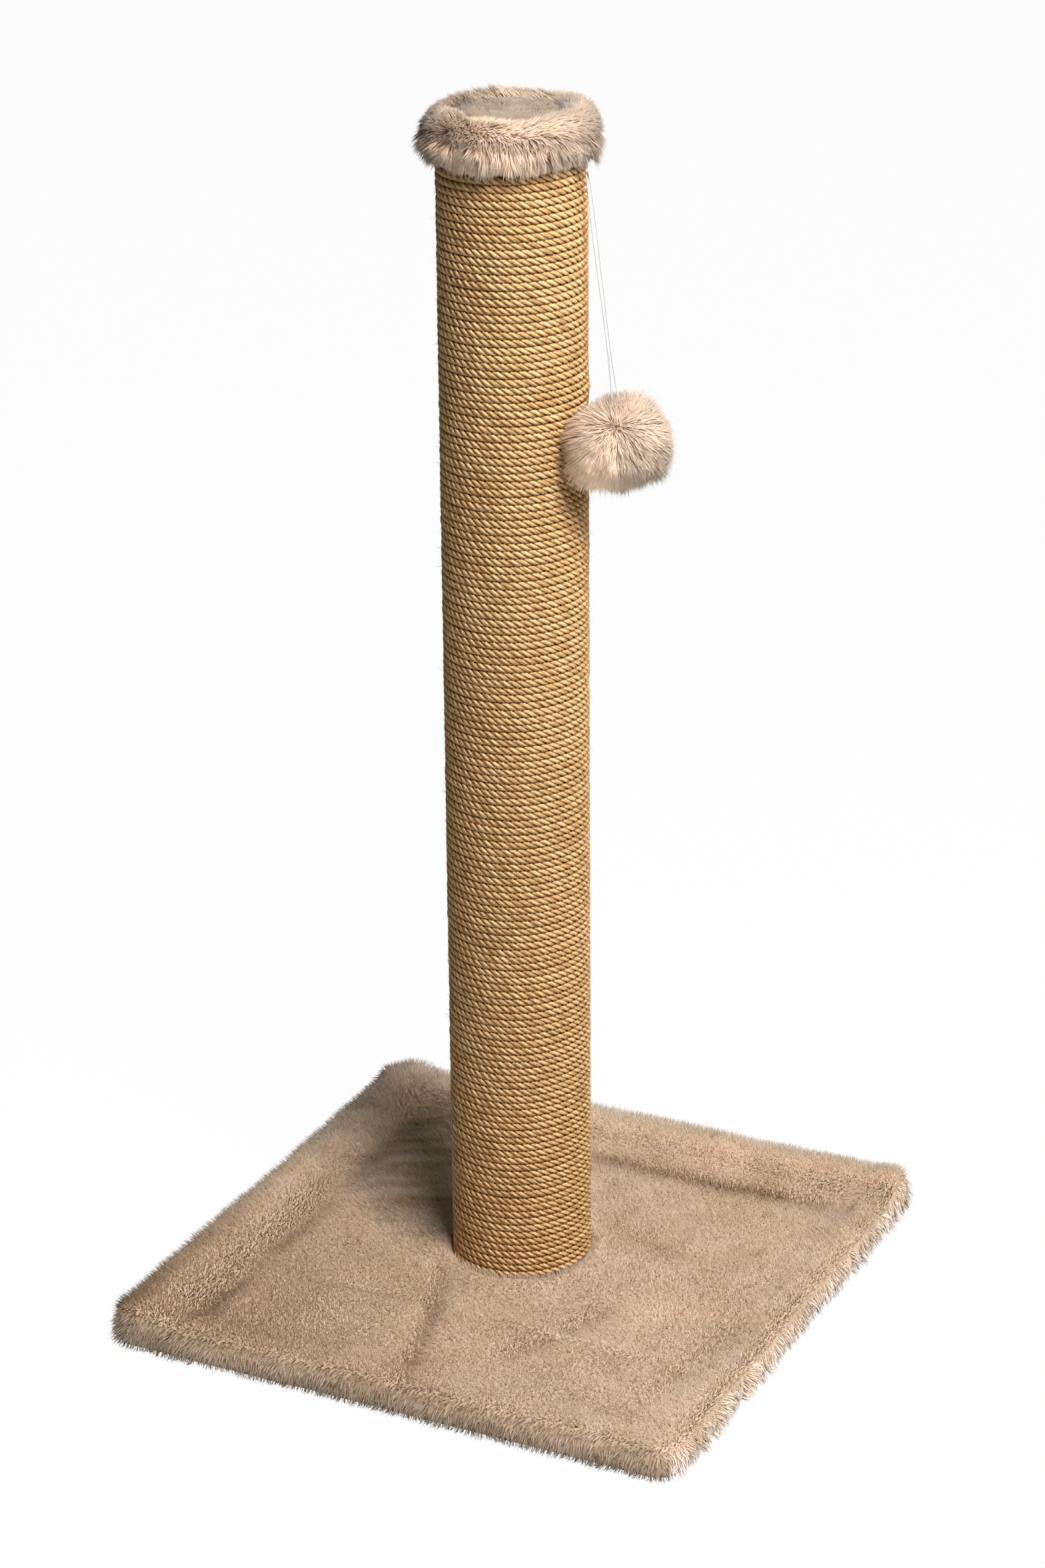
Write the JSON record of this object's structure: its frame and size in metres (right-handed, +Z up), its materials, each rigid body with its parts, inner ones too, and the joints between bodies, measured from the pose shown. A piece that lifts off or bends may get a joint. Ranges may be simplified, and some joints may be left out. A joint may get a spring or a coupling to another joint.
{
  "type": "cat scratching post",
  "caption": "Tall rope-wound scratching post on a square fur-covered base, with a fur cap and a fur ball hanging on a doubled elastic cord.",
  "frame": {"origin": "centre of the base's underside", "axes": "+Z up along the post; X and Y along the edges of the base; the toy hangs on the +X side"},
  "size_m": [0.5, 0.5, 0.978],
  "materials": {
    "chipboard": "raw chipboard",
    "fur": "dense short faux fur",
    "staple_steel": "galvanised wire",
    "lining": "non-woven cloth",
    "cardboard": "spiral-wound kraft tube",
    "softwood": "sawn pine",
    "insert_brass": "turned",
    "bolt_steel": "zinc plated",
    "rope": "twisted natural fibre",
    "elastic": "covered elastic",
    "tie_thread": "waxed thread",
    "filling": "polyester fibre"
  },
  "bodies": {
    "stand": {"base_board": "chipboard", "base_cover": "fur", "cover_staples": "staple_steel", "base_lining": "lining", "post_tube": "cardboard", "bottom_plug": "softwood", "top_plug": "softwood", "plug_staples": "staple_steel", "threaded_insert": "insert_brass", "post_bolt": "bolt_steel", "bolt_washer": "bolt_steel", "rope_turns_bottom": "rope", "rope_turns_middle": "rope", "rope_turns_top": "rope", "rope_staples": "staple_steel", "cap_board": "chipboard", "cap_screws": "bolt_steel", "cap_cover": "fur", "cap_band": "fur", "cap_staples": "staple_steel", "cord_staple": "staple_steel", "cord_root": "elastic"},
    "knot": {"cord_knot": "elastic"},
    "cord": {"toy_cord": "elastic"},
    "tie": {"pompom_tie": "tie_thread"},
    "pompom": {"pompom_cover": "fur", "pompom_filling": "filling"}
  },
  "joints": [
    {"name": "toy_swing_side", "type": "hinge", "parent": "stand", "child": "knot", "pos_m": [0.062, 0, 0.933], "axis": [1, 0, 0], "range_deg": [-60, 60]},
    {"name": "toy_swing_out", "type": "hinge", "parent": "knot", "child": "cord", "pos_m": [0.062, 0, 0.933], "axis": [0, -1, 0], "range_deg": [0, 65]},
    {"name": "toy_stretch", "type": "slide", "parent": "cord", "child": "tie", "axis": [0.1305, 0, -0.9915], "range_m": [0, 0.1], "stiffness_N_per_m": 25, "springref_m": -0.01, "deforming": ["toy_cord"]},
    {"name": "pompom_spin", "type": "hinge", "parent": "tie", "child": "pompom", "pos_m": [0.0894, 0, 0.72479], "axis": [-0.1305, 0, 0.9915], "range_deg": [-180, 180]}
  ]
}
